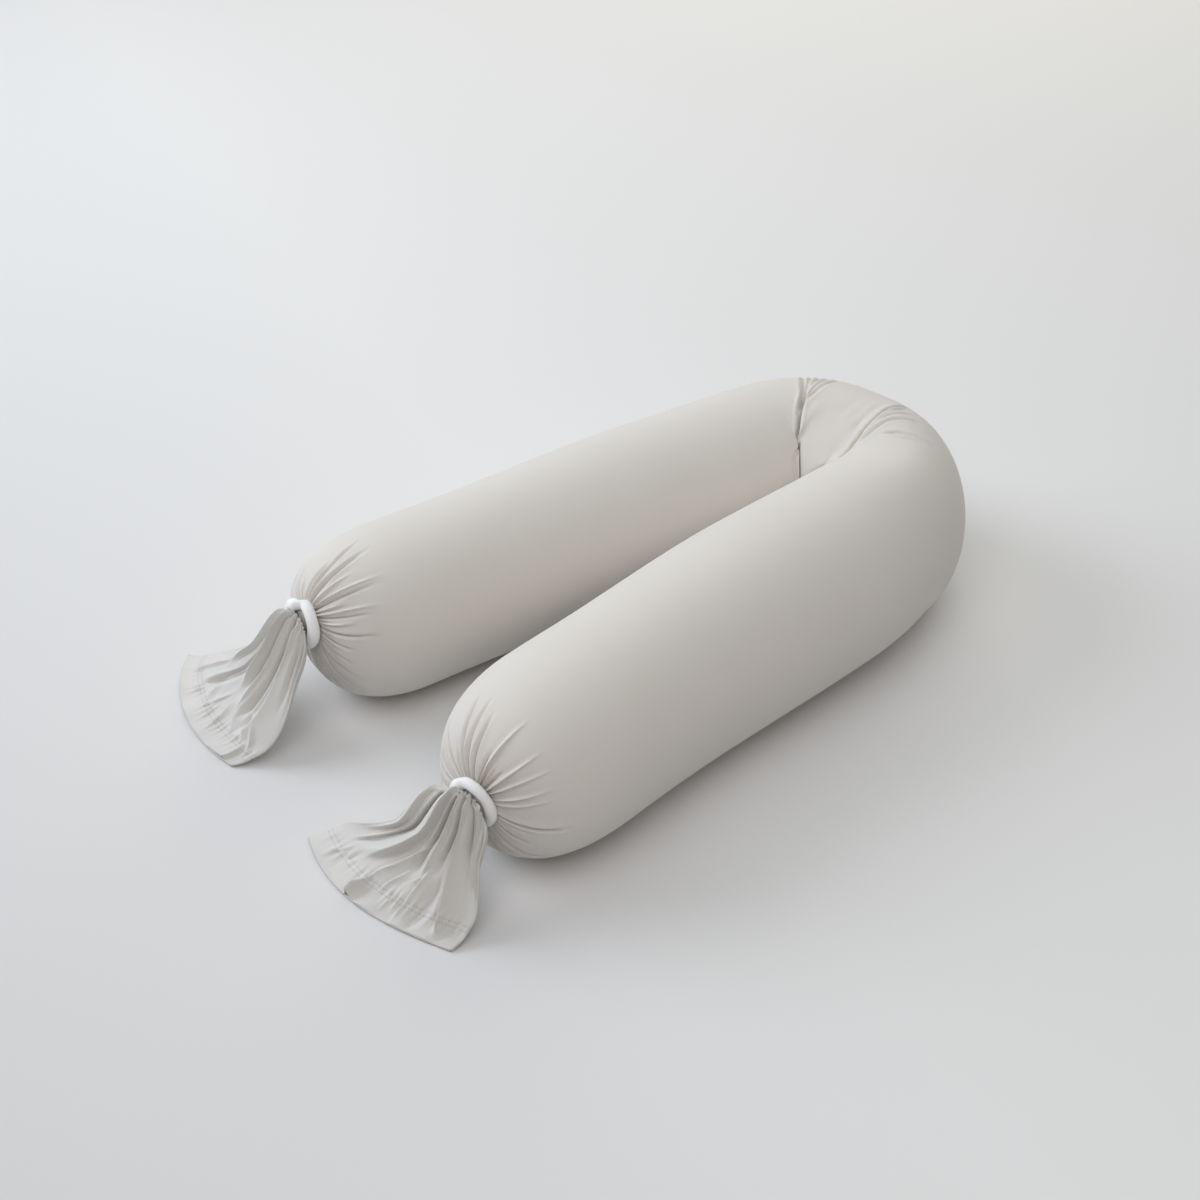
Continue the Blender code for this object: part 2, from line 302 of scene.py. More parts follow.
def tube(angle, distance, inset=0.0):
    """Points of the filled tube.  The angle runs round the section: 0 is the outer side, 90 the top."""
    x, y, heading = route_at(distance)
    free = half_width_at(distance)
    outer, inner = free.copy(), free.copy()
    for corner, middle in zip(CORNERS, BEND_MIDDLES):
        away = np.abs(distance - middle)
        near = 1.0 - ease(away - corner.half_length, 0.0, corner.softness)
        inner -= (free - corner.inner) * near * drawn_in(angle, distance)
        outer -= free * corner.outer_loss * np.exp(-(away / corner.outer_spread) ** 2)

    second = distance > ROUTE_LENGTH / 2.0
    from_neck = np.minimum(distance, ROUTE_LENGTH - distance)
    cap_length = np.where(second, CAP_LENGTHS[1], CAP_LENGTHS[0])
    neck_height = np.where(second, NECK_HEIGHTS[1], NECK_HEIGHTS[0])
    full = cap_share(from_neck, cap_length, CAP_POWER)
    sagged = cap_share(from_neck, cap_length, SAG_POWER)
    middle = (HEIGHT_SHARE * free - REST_SINK) * full + neck_height * (1.0 - full)

    share = full + (sagged - full) * np.maximum(-np.sin(angle), 0.0)
    side = np.where(np.cos(angle) > 0.0, outer, inner)
    across = (NECK_RADIUS + (side - inset - NECK_RADIUS) * share) * np.cos(angle)
    for bend, spot, bend_radius in zip(BENDS, BEND_MIDDLES, BEND_RADII):
        past_corner = np.maximum(np.abs(distance - spot) - bend.length / 2.0, 0.0)
        room = bend_radius - TOUCH_GAP + past_corner / np.tan(radians(-bend.turn / 2.0))
        across = np.maximum(across, -room)
    up = NECK_RADIUS + (HEIGHT_SHARE * free - inset - NECK_RADIUS) * share
    points = np.empty(angle.shape + (3,))
    points[..., 0] = x - np.sin(heading) * across
    points[..., 1] = y + np.cos(heading) * across
    points[..., 2] = np.maximum(middle + up * np.sin(angle), 0.0)
    from_pivot = np.hypot(points[..., 0] - FIRST_PIVOT.x, points[..., 1] - FIRST_PIVOT.y)
    push = CREASE_PUSH.reach * np.exp(-(from_pivot / CREASE_PUSH.spread) ** 2)
    points[..., 0] += push * cos(CREASE_PUSH.azimuth)
    points[..., 1] += push * sin(CREASE_PUSH.azimuth)
    return points


top_spot = tube(np.array([pi / 2.0]), np.array([ROUTE_LENGTH / 2.0]))[0]
print("half way, the top of the tube is", round(float(top_spot[2]), 3), "m high")

# %% [markdown]
# ## From a flat grid to a sleeve
#
# `sleeve` is the helper that all cloth pieces share.  It adds a grid, moves its points to where the
# cloth goes, writes the flat size of the cloth into the UV map in metres, so that the knit has the same
# scale everywhere, and merges the two long edges that meet.  The row and column that each point comes
# from stay with the mesh as attributes.

# %% Helpers for cloth pieces
SEAM_GAP = 0.00001              # points closer than this are merged


def only(piece):
    """Select one piece and nothing else."""
    bpy.ops.object.select_all(action="DESELECT")
    bpy.context.view_layer.objects.active = piece
    piece.select_set(True)


def read_points(piece):
    """The points of a mesh as an array."""
    flat = np.empty(len(piece.data.vertices) * 3, np.float32)
    piece.data.vertices.foreach_get("co", flat)
    return flat.reshape(-1, 3).astype(float)


def write_points(piece, points):
    """Move the points of a mesh to these places."""
    piece.data.vertices.foreach_set("co", points.astype(np.float32).ravel())


def read_numbers(piece, label):
    """The row or the column of the grid that each point of a sleeve comes from."""
    numbers = np.empty(len(piece.data.vertices), np.int32)
    piece.data.attributes[label].data.foreach_get("value", numbers)
    return numbers


def running_sum(values):
    """0, and then the sum of the values so far."""
    return np.concatenate([np.zeros_like(values[:1]), np.cumsum(values, axis=0)])


def run_along(points):
    """How far each point lies from the first one, along a line or down the columns of a sleeve."""
    return running_sum(np.linalg.norm(np.diff(points, axis=0), axis=-1))


def sleeve(name, points, across, runs):
    """A mesh sleeve through points[row, column], whose last column meets its first.

    across[row, column] and runs[row] give the same points on the flat cloth, in metres.
    """
    rows, columns = points.shape[0] - 1, points.shape[1] - 1
    bpy.ops.object.select_all(action="DESELECT")
    bpy.ops.mesh.primitive_grid_add(x_subdivisions=columns, y_subdivisions=rows, size=1.0)
    piece = bpy.context.object
    piece.name = name
    flat = read_points(piece)
    column = np.rint((flat[:, 0] + 0.5) * columns).astype(int)
    row = np.rint((flat[:, 1] + 0.5) * rows).astype(int)
    write_points(piece, points[row, column])

    corner_point = np.empty(len(piece.data.loops), np.int32)
    piece.data.loops.foreach_get("vertex_index", corner_point)
    cloth = np.stack([across[row, column], runs[row]], axis=1)[corner_point]
    piece.data.uv_layers[0].name = "cloth"
    piece.data.uv_layers[0].uv.foreach_set("vector", cloth.astype(np.float32).ravel())
    for label, values in (("row", row), ("column", column % columns)):
        layer = piece.data.attributes.new(label, "INT", "POINT")
        layer.data.foreach_set("value", values.astype(np.int32))

    bpy.ops.object.mode_set(mode="EDIT")
    bpy.ops.mesh.select_all(action="SELECT")
    bpy.ops.mesh.remove_doubles(threshold=SEAM_GAP)
    bpy.ops.mesh.normals_make_consistent(inside=False)
    bpy.ops.object.mode_set(mode="OBJECT")
    bpy.ops.object.shade_smooth()
    return piece


def close_ends(piece):
    """Fill the two round openings at the ends of a sleeve."""
    only(piece)
    bpy.ops.object.mode_set(mode="EDIT")
    bpy.ops.mesh.select_mode(type="EDGE")
    bpy.ops.mesh.select_all(action="DESELECT")
    bpy.ops.mesh.select_non_manifold(extend=False)
    bpy.ops.mesh.fill_holes(sides=0)
    bpy.ops.mesh.select_all(action="SELECT")
    bpy.ops.mesh.normals_make_consistent(inside=False)
    bpy.ops.object.mode_set(mode="OBJECT")


def outward_of(points):
    """The unit normals of a sleeve at its points."""
    closed = np.concatenate([points[:, -2:-1], points, points[:, 1:2]], axis=1)
    around = closed[:, 2:] - closed[:, :-2]
    along = np.gradient(points, axis=0)
    normal = np.cross(around, along)
    return normal / np.maximum(np.linalg.norm(normal, axis=2, keepdims=True), 1e-12)


# %% [markdown]
# ## Gathers at the tied ends
#
# Where the band draws the cloth in, pleats run out over the rounded end.  Some are dark sharp valleys
# between puffs, and others are thin pinched ridges.  Noise would make them all alike, so each has its own
# row here: the angle where it leaves the band, the angle where it dies out, its length over the cloth,
# its height (below zero for a valley) and its spread to each side.  The tables come before the mesh,
# because the mesh has to be fine where the gathers run.

# %% Tables of gathers
Gather = namedtuple("Gather", "start end length height spread")


def gather_table(*rows):
    """Gathers from rows with the length in millimetres, and the height and spread in tenths of one."""
    return tuple(Gather(*row[:2], row[2] / 1000.0, row[3] / 10000.0, row[4] / 10000.0) for row in rows)


FAR_GATHERS = gather_table(
    (44, 45, 88, -22, 17), (56, 58, 50, -26, 16), (69, 70, 30, -22, 15), (85, 84, 60, -36, 16),
    (95, 81, 94, -34, 16), (101, 93, 90, -42, 17), (107, 105, 62, 26, 16), (113, 117, 86, 28, 16),
    (118, 121, 82, -32, 16), (124, 128, 45, 24, 15), (131, 136, 70, 26, 16), (138, 141, 64, -24, 16),
    (149, 146, 44, 24, 15), (163, 157, 62, -24, 16), (178, 176, 34, -24, 16), (196, 194, 30, -24, 16),
    (212, 208, 36, -26, 16), (229, 222, 42, -28, 17), (252, 241, 60, -38, 18), (270, 258, 48, -36, 17),
    (286, 276, 50, -28, 17), (303, 300, 64, -28, 17), (321, 320, 50, 24, 16), (337, 340, 72, -28, 17),
    (353, 356, 54, 24, 16), (9, 8, 70, -30, 17), (26, 24, 58, -26, 17),
)
NEAR_GATHERS = gather_table(
    (13, 18, 58, 20, 15), (24, 26, 62, 22, 15), (43, 39, 68, 28, 15), (54, 53, 68, 32, 15),
    (62, 61, 34, -26, 15), (72, 71, 32, 26, 15), (80, 75, 78, 32, 16), (87, 83, 40, -24, 15),
    (101, 98, 70, -40, 16), (113, 106, 86, -32, 16), (119, 118, 88, -48, 17), (129, 130, 42, -30, 15),
    (138, 150, 86, -42, 17), (149, 156, 76, -36, 16), (162, 168, 54, -36, 16), (176, 182, 60, -32, 17),
    (192, 197, 48, -30, 16), (208, 213, 62, -28, 17), (224, 226, 44, 22, 16), (240, 240, 58, -30, 17),
    (258, 256, 42, -28, 16), (276, 288, 48, -36, 16), (288, 303, 54, -40, 16), (303, 315, 70, -42, 17),
    (320, 328, 38, -28, 15), (337, 343, 42, -30, 15), (344, 350, 70, -34, 16),
)


FULL_TURN = 2.0 * pi
GATHER_START = (-0.004, 0.008)  # distances from the band over which a gather rises
GATHER_END = (0.45, 1.08)       # shares of its length over which it dies out


def turn_between(angle, middle):
    """The signed turn from middle to angle, in radians."""
    return np.mod(angle - middle + pi, FULL_TURN) - pi


def gather_off(gather, angle, run, radius):
    """How far these points lie from the line of a gather, over the cloth."""
    share = np.clip(run / gather.length, 0.0, 1.0)
    return turn_between(angle, radians(gather.start) + radians(gather.end - gather.start) * share) * radius


def gather_strength(gather, run):
    """How strong a gather is this far from the band: it sets in at once and dies out slowly."""
    return ease(run, *GATHER_START) * (1.0 - ease(run / gather.length, *GATHER_END))


print(len(FAR_GATHERS) + len(NEAR_GATHERS), "gathers")

# %% [markdown]
# ## Creases at the bend
#
# At each corner the inner side has cloth to spare, and it folds in.  The first corner has one deep
# crease that climbs from the inner side to the top, where it opens into a fan of small folds.  The
# second has a long curved crease and a few shallow ones on the shoulder beside it.  Each crease is a path
# in the same angles and millimetres as the two deep ones.

# %% Tables of creases
Crease = namedtuple("Crease", "path depth spread core")
CREASES = (
    # the deep crease of the first corner and the fan at its top
    Crease(FIRST_EDGE[:6], 0.0056, 0.0018, 0.55),
    Crease(((110, -3),) + FIRST_EDGE[3:], 0.0034, 0.0013, 0.5),
    Crease(((54, 4), (73, 3), (88, 1), (101, -3), (118, -11)), 0.0040, 0.0015, 0.3),
    Crease(((54, 10), (73, 9), (85, 5), (100, -1), (112, -7)), 0.0034, 0.0015, 0.2),
    Crease(((58, 17), (72, 16), (84, 11), (97, 5), (108, -2)), 0.0024, 0.0016, 0.0),
    Crease(((56, 25), (70, 23), (82, 17), (95, 11), (103, 3), (112, -4)), 0.0036, 0.0018, 0.3),
    # the long crease of the second corner and the shallow ones on its shoulder
    Crease(SECOND_EDGE, 0.0092, 0.0014, 0.72),
    Crease(((80, 86), (98, 87), (110, 92), (118, 100)), 0.0014, 0.0026, 0.0),
    Crease(((68, 104), (82, 104), (94, 107)), 0.0020, 0.0018, 0.0),
    Crease(((70, 132), (87, 127), (100, 123), (108, 130), (116, 142), (121, 160)), 0.0032, 0.0016, 0.3),
    Crease(((62, 166), (78, 162), (92, 157), (98, 153), (108, 151)), 0.0048, 0.0014, 0.55),
    Crease(((74, 172), (90, 167), (100, 163)), 0.0018, 0.0015, 0.2),
    Crease(((70, 117), (84, 115), (96, 113), (106, 118)), 0.0016, 0.0016, 0.0),
    # soft ripples on the back between the two
    Crease(((96, 54), (110, 50), (126, 48)), 0.0006, 0.0046, 0.0),
    Crease(((84, 76), (98, 76), (112, 78)), 0.0008, 0.0030, 0.0),
    Crease(((84, 65), (100, 62), (118, 62)), 0.0006, 0.0038, 0.0),
)
CREASE_RADIUS = 0.45 * WIDTH    # turns a change of angle into a length, to tell how a crease leans
LEAN_STEP = 2.0                 # degrees to both sides over which its lean is measured
CREASE_FADES = (12.0, 9.0)      # degrees over which a crease fades at its two ends


def crease_off(crease, angle, distance, scale):
    """How far these points lie past a crease.  The scale is the real length of a step along the route."""
    degrees = np.degrees(angle)
    before, here, after = (edge_at(degrees + step, crease.path) for step in (-LEAN_STEP, 0.0, LEAN_STEP))
    lean = (after - before) * scale / (radians(2.0 * LEAN_STEP) * CREASE_RADIUS)
    return (distance - here) * scale / np.sqrt(1.0 + lean * lean)


def crease_ends(crease, angle):
    """1 along a crease, fading to 0 at its two ends."""
    first, last = crease.path[0][0], crease.path[-1][0]
    return between(np.degrees(angle), first, first + CREASE_FADES[0], last - CREASE_FADES[1], last)


print(len(CREASES), "creases")

# %% [markdown]
# ## Rows and columns of the tube
#
# The tube needs fine rows where it is tied and creased, and only coarse ones along the legs.  So the
# rows are spaced by a wish: a small step in some zones, a large one elsewhere.  The columns do the same.
# Round each end they crowd together along the lines of the gathers, and at the bend over the creased
# side.  That puts the points where the shape is, so that the mesh stays light.

# %% Space the rows
COLUMNS = 250
LEG_STEP = 0.010                # between rows along the legs
FINE_POINTS = 12000             # of the lines that the rows are spaced on
NECK_TUCK = 0.009               # the tube runs this far out under its band
Zone = namedtuple("Zone", "start end soft step")
CAP_ZONES = (                   # by the distance over the cloth from a neck
    Zone(0.0, 0.022, 0.010, 0.0013),
    Zone(0.0, 0.088, 0.030, 0.0024),
)
BEND_ZONES = (                  # by the distance along the route
    Zone(0.538, 0.628, 0.008, 0.0011),
    Zone(0.694, 0.722, 0.005, 0.0009),
    Zone(0.722, 0.775, 0.010, 0.0017),
    Zone(0.530, 0.800, 0.040, 0.0036),
)


def window(value, zone):
    """1 inside a zone, falling to 0 over its soft edges."""
    return between(value, zone.start - zone.soft, zone.start, zone.end, zone.end + zone.soft)


fine = np.linspace(-NECK_TUCK, ROUTE_LENGTH + NECK_TUCK, FINE_POINTS)
cloth_run = run_along(tube(np.full_like(fine, pi / 2.0), fine))
whole_run = cloth_run[-1]
from_band = np.minimum(cloth_run, whole_run - cloth_run) - NECK_TUCK
density = np.full_like(fine, 1.0 / LEG_STEP)
for zone in CAP_ZONES:
    density = np.maximum(density, window(np.maximum(from_band, 0.0), zone) / zone.step)
for zone in BEND_ZONES:
    density = np.maximum(density, window(fine, zone) / zone.step)
row_count = running_sum(np.diff(cloth_run) * density[1:])
ROWS = int(row_count[-1])
row_distance = np.interp(np.linspace(0.0, row_count[-1], ROWS + 1), row_count, fine)
row_run = np.interp(row_distance, fine, cloth_run)
far_run = row_run - NECK_TUCK
near_run = whole_run - row_run - NECK_TUCK
print(ROWS, "rows of", COLUMNS, "columns; the cloth runs", round(whole_run, 3), "m")

# %% Crowd the columns along the gathers
CROWDING = 4.5                  # how much closer the columns stand on the line of a gather
CROWD_WIDTH = 1.6               # in widths of the gather
BEND_CROWDING = 2.2             # the same at the bend, all over the creased part
CREASED_ANGLES = [radians(degrees) for degrees in (33.0, 58.0, 140.0, 165.0)]
BEND_CROWD = (0.310, 0.530, 0.800, 1.020)       # along the route: soft, so that the columns never lean much
probe = np.linspace(0.0, FULL_TURN, 4 * 360 + 1)
probe_grid, probe_distance = np.meshgrid(probe, row_distance)
section = tube(probe_grid, probe_distance)
section_middle = section.mean(axis=1, keepdims=True)
probe_radius = np.linalg.norm(section - section_middle, axis=2)
crowd = np.ones(probe_grid.shape)
for gathers, run in ((FAR_GATHERS, far_run), (NEAR_GATHERS, near_run)):
    for gather in gathers:
        line = run[:, None]
        off = gather_off(gather, probe_grid, line, probe_radius) / (CROWD_WIDTH * gather.spread)
        crowd += CROWDING * gather_strength(gather, line) * np.exp(-off * off)
crowd += BEND_CROWDING * between(probe_grid, *CREASED_ANGLES) * between(row_distance[:, None], *BEND_CROWD)
column_count = running_sum((crowd.T[1:] + crowd.T[:-1]) / 2.0).T
shares = np.linspace(0.0, 1.0, COLUMNS + 1)
angle_grid = np.stack([np.interp(shares * line[-1], line, probe) for line in column_count])
distance_grid = np.repeat(row_distance[:, None], COLUMNS + 1, axis=1)
narrowest = np.diff(angle_grid, axis=1).min() * WIDTH / 2.0
print("on the legs the columns stand down to", round(narrowest * 1000.0, 2), "mm apart")

# %% [markdown]
# ## Filling the tube
#
# A stuffed sleeve is rounder between its tight places than any formula says.  So a coarse copy of the tube
# is made a little too small and blown up by a cloth simulation with pressure and no gravity.  Its
# necks are pinned.  How far each point moved is capped and added to the fine tube, but not on the
# inner side of the bend, where the creases are laid on a calm surface.

# %% Blow up a coarse copy of the tube
SIM_COLUMNS, SIM_ROWS = 72, 150
SIM_INSET = 0.0025              # how much too small the copy is
SIM_FRAMES = 20
SIM_QUALITY = 6                 # steps of the simulation in a frame
SIM_MASS = 0.2
SIM_PRESSURE = 4.0
PIN_ROWS = 2                    # pinned at each neck
MOST_MOVE = 0.006
CALM_RUNS = (0.36, 0.47, 0.80, 0.90)            # along the route
CALM_ANGLES = (75.0, 110.0, 250.0, 290.0)       # degrees round the section


def simulate_filling():
    """How far the filling moves each point of a coarse sleeve, by row and column."""
    runs = np.linspace(0.0, whole_run, SIM_ROWS + 1)
    angles = np.linspace(0.0, FULL_TURN, SIM_COLUMNS + 1)
    grid_angle, grid_distance = np.meshgrid(angles, np.interp(runs, cloth_run, fine))
    start = tube(grid_angle, grid_distance, SIM_INSET)
    stuffing = sleeve("stuffing", start, grid_angle, runs)
    row, column = read_numbers(stuffing, "row"), read_numbers(stuffing, "column")
    pins = stuffing.vertex_groups.new(name="pins")
    pinned = np.flatnonzero((row < PIN_ROWS) | (row > SIM_ROWS - PIN_ROWS))
    pins.add([int(number) for number in pinned], 1.0, "REPLACE")

    cloth = stuffing.modifiers.new("filling", "CLOTH")
    cloth.settings.quality = SIM_QUALITY
    cloth.settings.mass = SIM_MASS
    cloth.settings.use_pressure = True
    cloth.settings.uniform_pressure_force = SIM_PRESSURE
    cloth.settings.effector_weights.gravity = 0.0
    cloth.settings.vertex_group_mass = "pins"
    cloth.collision_settings.use_collision = False
    cloth.point_cache.frame_start = 1
    cloth.point_cache.frame_end = SIM_FRAMES
    for number in range(1, SIM_FRAMES + 1):
        bpy.context.scene.frame_set(number)
    only(stuffing)
    bpy.ops.object.modifier_apply(modifier=cloth.name)
    bpy.context.scene.frame_set(1)

    moved = np.zeros(start.shape)
    moved[row, column] = read_points(stuffing) - start[row, column]
    moved[:, -1] = moved[:, 0]
    length = np.linalg.norm(moved, axis=2, keepdims=True)
    moved *= np.minimum(1.0, MOST_MOVE / np.maximum(length, 1e-9))
    bpy.data.objects.remove(stuffing)
    return moved, runs, angles


def spread_over(moved, runs, angles):
    """The coarse movement, read at every row and column of the fine tube."""
    result = np.empty(angle_grid.shape + (3,))
    for axis in range(3):
        lines = np.stack([np.interp(row_run, runs, column) for column in moved[..., axis].T], axis=1)
        for number, line in enumerate(lines):
            result[number, :, axis] = np.interp(angle_grid[number], angles, line)
    return result


body = tube(angle_grid, distance_grid)
calm = between(distance_grid, *CALM_RUNS) * between(np.degrees(angle_grid), *CALM_ANGLES)
change = spread_over(*simulate_filling()) * (1.0 - calm)[..., None]
furthest = float(np.linalg.norm(change, axis=2).max())
print("the filling moves the cloth by up to", round(furthest * 1000.0, 1), "mm")
body += change
body[..., 2] = np.maximum(body[..., 2], 0.0)

# %% [markdown]
# ## Raising the gathers
#
# A valley is a sharp V with a soft puff on both sides.  A ridge is pinched, and leans downwards a little,
# as slack cloth does.  Close to the band the whole cloth is bunched, so short pleats fill the gaps
# there: rounded on top, with sharp valleys between.  They could be sculpted, but as heights added along
# the normals they stay in place when the mesh gets finer.

# %% Raise and sink the gathers
GATHER_WIDTH = 0.68             # of the spreads in the tables
BAND_WIDTH_SHARE = 0.55         # of that width at the band itself, where all pleats are narrow
FULL_WIDTH_AT = 0.030           # from the band
VALLEY_DEPTH = 1.45             # of the depths in the tables
Rim = namedtuple("Rim", "share at spread")      # the puff beside a pleat: of its height, and in its widths
RIDGE_RIM = Rim(0.30, 2.6, 1.2)
VALLEY_RIM = Rim(0.30, 2.9, 1.5)
RIDGE_SIDES = (0.75, 1.35)      # widths of its lower and its upper side
RIDGE_POWER = 1.5               # a ridge is rounder on its line than a valley
SHORT_PLEATS = 29               # round the tube
SHORT_DEPTH = 0.0019
SHORT_MEAN = 0.6                # taken off, so that the short pleats sink as much as they rise
SHORT_DRIFT = (1.3, 3.0)        # they are drawn apart by this much, this often round the tube
SHORT_UNEVEN = (0.25, 5.0, 0.7)                 # a wave that makes some of them lower
SHORT_RUNS = (-0.012, 0.004, 0.004, 0.024)      # from the band


def waves(at, *parts):
    """A sum of waves.  Each part is a height, the turn of the wave for one step of at, and its start."""
    return sum(height * np.cos(turn * at + start) for height, turn, start in parts)


def rim_height(away, rim):
    """How high the rim beside a pleat stands, this far from the line of the pleat."""
    return rim.share * np.exp(-((away - rim.at) / rim.spread) ** 2)


def pleat(away, rim, power=1.0):
    """A cross section: 1 on the line of a pleat, falling off to a low rim of the other sign."""
    return np.exp(-away ** power) - rim_height(away, rim)


def gather_lift(angle, run, radius, gathers, shift):
    """How far the gathers lift the cloth, at these angles and distances over the cloth from the band."""
    lift = np.zeros(angle.shape)
    for gather in gathers:
        off = gather_off(gather, angle, run, radius)
        narrow = BAND_WIDTH_SHARE + (1.0 - BAND_WIDTH_SHARE) * ease(run, 0.0, FULL_WIDTH_AT)
        away = np.abs(off) / (GATHER_WIDTH * gather.spread * narrow)
        if gather.height > 0.0:
            lower = off * cos(radians(gather.start)) < 0.0
            shape = pleat(away / np.where(lower, *RIDGE_SIDES), RIDGE_RIM, RIDGE_POWER)
        else:
            shape = VALLEY_DEPTH * pleat(away, VALLEY_RIM)
        lift += gather.height * gather_strength(gather, run) * shape
    phase = SHORT_PLEATS * angle + SHORT_DRIFT[0] * np.sin(SHORT_DRIFT[1] * angle + shift)
    short = (np.abs(np.sin(phase / 2.0)) - SHORT_MEAN) * (1.0 - SHORT_UNEVEN[0] + waves(angle, SHORT_UNEVEN))
    return lift + SHORT_DEPTH * short * between(run, *SHORT_RUNS)


radius_grid = np.linalg.norm(body - section_middle, axis=2)
lift = gather_lift(angle_grid, far_run[:, None], radius_grid, FAR_GATHERS, 0.0)
lift += gather_lift(angle_grid, near_run[:, None], radius_grid, NEAR_GATHERS, 2.0)
print("the deepest gather sinks", round(float(-lift.min()) * 1000.0, 1), "mm")

# %% [markdown]
# ## Sinking the creases
#
# A crease is a soft trough with a sharp line in its middle.  Where it is deep, the cloth beside it
# stands a little fuller.  Creases are heights along the normals too, below zero.

# %% Sink the creases
Shoulder = namedtuple("Shoulder", "crease side height rise hold fade angle angle_spread")
SHOULDERS = (                   # cloth that stands full beside a crease: before it is -1, after it is 1
    Shoulder(0, -1, 0.0026, 0.004, 0.018, 0.070, 108.0, 22.0),
    Shoulder(0, 1, 0.0040, 0.006, 0.024, 0.070, 128.0, 28.0),
    Shoulder(6, 1, 0.0050, 0.005, 0.026, 0.110, 103.0, 20.0),
)
CORE_WIDTH = 0.0012             # of the sharp line in the middle of a deep crease
CREASE_RIM = Rim(0.25, 2.8, 1.4)


def crease_lift(angle, distance, scale):
    """How far the creases draw the cloth in, and how far their shoulders stand out."""
    degrees = np.degrees(angle)
    lift = np.zeros(angle.shape)
    for crease in CREASES:
        away = np.abs(crease_off(crease, angle, distance, scale))
        wide = pleat(away / crease.spread, CREASE_RIM)
        core = np.exp(-(away / CORE_WIDTH) ** 2)
        depth = crease.depth * crease_ends(crease, angle)
        lift -= depth * ((1.0 - crease.core) * wide + crease.core * core)
    for shoulder in SHOULDERS:
        past = (distance - edge_at(degrees, CREASES[shoulder.crease].path)) * shoulder.side
        full = between(past, 0.0, shoulder.rise, shoulder.hold, shoulder.fade)
        lift += shoulder.height * full * np.exp(-((degrees - shoulder.angle) / shoulder.angle_spread) ** 2)
    return lift


step_length = np.linalg.norm(np.gradient(body, axis=0), axis=2) / np.abs(np.gradient(row_distance))[:, None]
lift += crease_lift(angle_grid, distance_grid, step_length)
body += outward_of(body) * lift[..., None]
body[..., 2] = np.maximum(body[..., 2], 0.0)
body[:, -1] = body[:, 0]

GIRTH_OF_CLOTH = 0.60           # round the sleeve, laid flat and doubled
pillow_body = sleeve("pillow_body", body, angle_grid / FULL_TURN * GIRTH_OF_CLOTH, row_run)
close_ends(pillow_body)
print("pillow_body has", len(pillow_body.data.polygons), "faces")

# %% [markdown]
# ## The flared tails
#
# Past each band the sleeve is empty.  It falls to the table and fans out, two layers lying on each other,
# with long folds that start at the band.  The outline comes from the same few values as the solid in
# the frame.  The folds are tables again, as paths over the tail: how far along it, and how far
# across it, from -1 to 1, both in hundredths.

# %% Sizes of the tails
Tail = namedtuple("Tail", "swing spread reach reach_skew reach_bow belly belly_skew mouth blouse")
TAILS = (
    Tail(-26.0, 42.0, 0.127, -0.021, 0.014, 0.014, 0.012, 0.0050, (0.006, 0.002)),
    Tail(-20.0, 47.0, 0.108, -0.033, 0.026, 0.018, -0.004, 0.0036, (0.007, 0.008)),
)
NECK_LENGTH = 0.015             # from the end of the filled tube to the start of a tail
STEEPNESS = 1.6                 # how fast the tail falls from the neck to the table
FAN_OUT = (-0.3, 0.7)           # shares of the length over which it turns to its full spread
BLOUSE_RUNS = (0.0, 0.07, 0.09, 0.30)           # the same, over which the cloth swells out past the band
BLOUSE_SIDE = (-0.2, 1.0)       # over this much of its width the swelling grows to one side
BLUNT_POWER = 0.5               # presses the round section of the neck into two flat layers
TAIL_ROWS, TAIL_COLUMNS = 112, 384
TAIL_START = -0.010             # under the band, as a share of the tail's length

Fold = namedtuple("Fold", "height spread lean path")     # lean: the side that is steep
print(len(TAILS), "tails of", TAIL_ROWS, "rows and", TAIL_COLUMNS, "columns")

# %% Tables of folds


def fold_table(*rows):
    """Folds from rows with the height in tenths of a millimetre and the spread in thousandths."""
    folds = []
    for height, spread, lean, *path in rows:
        path = [(along / 100.0, across / 100.0) for along, across in path]
        folds.append(Fold(height / 10000.0, spread / 1000.0, lean, path))
    return folds


FAR_FOLDS = fold_table(
    (70, 170, 1, (0, -50), (10, -52), (22, -58), (38, -60), (52, -56)),
    (-90, 85, -1, (0, -24), (10, -26), (24, -28), (41, -24), (55, -32), (80, -48)),
    (105, 150, 0, (0, -5), (10, -6), (22, -2), (34, 2), (44, 5), (52, 6)),
    (-75, 55, 0, (0, 9), (10, 11), (22, 14), (34, 15), (50, 14)),
    (80, 110, 0, (0, 22), (10, 24), (20, 27), (34, 29), (50, 30), (66, 30)),
    (-95, 55, 0, (0, 36), (10, 40), (20, 44), (34, 45), (50, 45), (68, 42)),
    (85, 190, -1, (0, 56), (10, 62), (20, 66), (34, 68), (48, 68), (66, 68), (82, 62)),
    (-30, 50, 0, (4, 80), (16, 86), (30, 88), (46, 88)),
    (45, 80, 1, (34, -6), (46, -16), (60, -34), (76, -50)),
    (36, 40, 0, (66, 74), (76, 84), (90, 93)),
    (-40, 60, 1, (56, 50), (70, 62), (84, 74)),
    (34, 40, -1, (60, 34), (72, 42), (84, 56)),
    (34, 90, 1, (50, -62), (70, -70), (95, -78)),
    (28, 30, -1, (62, -22), (74, -19), (88, -15)),
    (28, 36, 1, (60, 6), (74, -2), (88, -10)),
    (30, 40, -1, (62, 18), (78, 24), (96, 26)),
    (36, 70, 1, (80, 80), (94, 83), (124, 86)),
    (18, 24, 0, (76, -36), (84, -40), (98, -42)),
    (18, 24, 0, (74, 6), (82, 7), (98, 9)),
)
